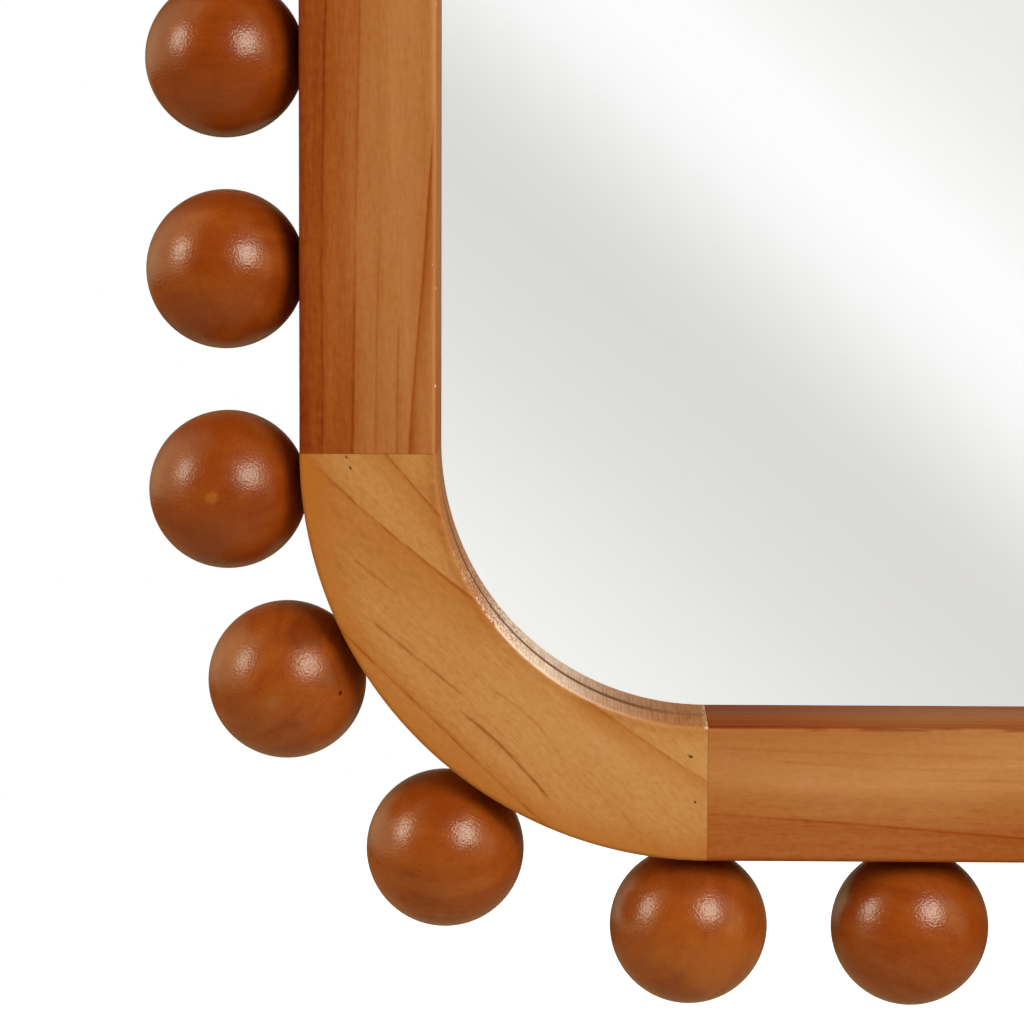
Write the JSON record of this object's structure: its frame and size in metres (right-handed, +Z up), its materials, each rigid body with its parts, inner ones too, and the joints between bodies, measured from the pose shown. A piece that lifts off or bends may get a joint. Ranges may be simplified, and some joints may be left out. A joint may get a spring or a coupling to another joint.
{
  "type": "wall mirror",
  "caption": "Upright wall mirror with rounded corners, its solid wood frame edged all round with turned wooden balls; hangs from a pair of swinging rings behind.",
  "frame": {"origin": "middle of the wall plane that the bumpers rest on, level with the middle of the frame", "axes": "+Z up, +Y into the wall, so that the glass faces -Y; +X to the right of whoever looks into the mirror"},
  "size_m": [0.555, 0.0445, 0.743],
  "materials": {
    "bar_wood": "satin clear lacquer over stained straight-grained wood",
    "corner_wood": "satin clear lacquer, grain at 45 degrees, pale end grain inside",
    "ball_wood": "satin lacquer over red-brown stain, fine grain",
    "dowel_wood": "raw beech",
    "mirror": "clear float glass, silvered on the back",
    "panel_board": "raw fibreboard",
    "point_steel": "bare spring steel",
    "hanger_steel": "zinc plated",
    "ring_steel": "bright zinc plated wire",
    "screw_steel": "bright zinc plated",
    "bumper_rubber": "matt black rubber"
  },
  "bodies": {
    "mirror_frame": {"stile_left": "bar_wood", "stile_right": "bar_wood", "rail_top": "bar_wood", "rail_bottom": "bar_wood", "corner_bottom_right": "corner_wood", "corner_bottom_left": "corner_wood", "corner_top_right": "corner_wood", "corner_top_left": "corner_wood", "ball_left_1": "ball_wood", "ball_left_2": "ball_wood", "ball_left_3": "ball_wood", "ball_left_4": "ball_wood", "ball_left_5": "ball_wood", "ball_left_6": "ball_wood", "ball_left_7": "ball_wood", "ball_left_8": "ball_wood", "ball_right_1": "ball_wood", "ball_right_2": "ball_wood", "ball_right_3": "ball_wood", "ball_right_4": "ball_wood", "ball_right_5": "ball_wood", "ball_right_6": "ball_wood", "ball_right_7": "ball_wood", "ball_right_8": "ball_wood", "ball_top_1": "ball_wood", "ball_top_2": "ball_wood", "ball_top_3": "ball_wood", "ball_top_4": "ball_wood", "ball_bottom_1": "ball_wood", "ball_bottom_2": "ball_wood", "ball_bottom_3": "ball_wood", "ball_bottom_4": "ball_wood", "ball_bottom_right_1": "ball_wood", "ball_bottom_right_2": "ball_wood", "ball_bottom_right_3": "ball_wood", "ball_bottom_right_4": "ball_wood", "ball_bottom_left_1": "ball_wood", "ball_bottom_left_2": "ball_wood", "ball_bottom_left_3": "ball_wood", "ball_bottom_left_4": "ball_wood", "ball_top_right_1": "ball_wood", "ball_top_right_2": "ball_wood", "ball_top_right_3": "ball_wood", "ball_top_right_4": "ball_wood", "ball_top_left_1": "ball_wood", "ball_top_left_2": "ball_wood", "ball_top_left_3": "ball_wood", "ball_top_left_4": "ball_wood", "joint_dowels": "dowel_wood", "ball_dowels": "dowel_wood", "mirror_glass": "mirror", "back_panel": "panel_board", "glazing_points": "point_steel", "hanger_strap_left": "hanger_steel", "hanger_strap_right": "hanger_steel", "hanger_screws": "screw_steel", "wall_bumpers": "bumper_rubber"},
    "ring_left": {"hanger_ring_left": "ring_steel"},
    "ring_right": {"hanger_ring_right": "ring_steel"}
  },
  "joints": [
    {"name": "ring_left_swing", "type": "hinge", "parent": "mirror_frame", "child": "ring_left", "pos_m": [-0.226, -0.0034, 0.122], "axis": [1, 0, 0], "range_deg": [0, 184]},
    {"name": "ring_right_swing", "type": "hinge", "parent": "mirror_frame", "child": "ring_right", "pos_m": [0.226, -0.0034, 0.122], "axis": [1, 0, 0], "range_deg": [0, 184]}
  ]
}
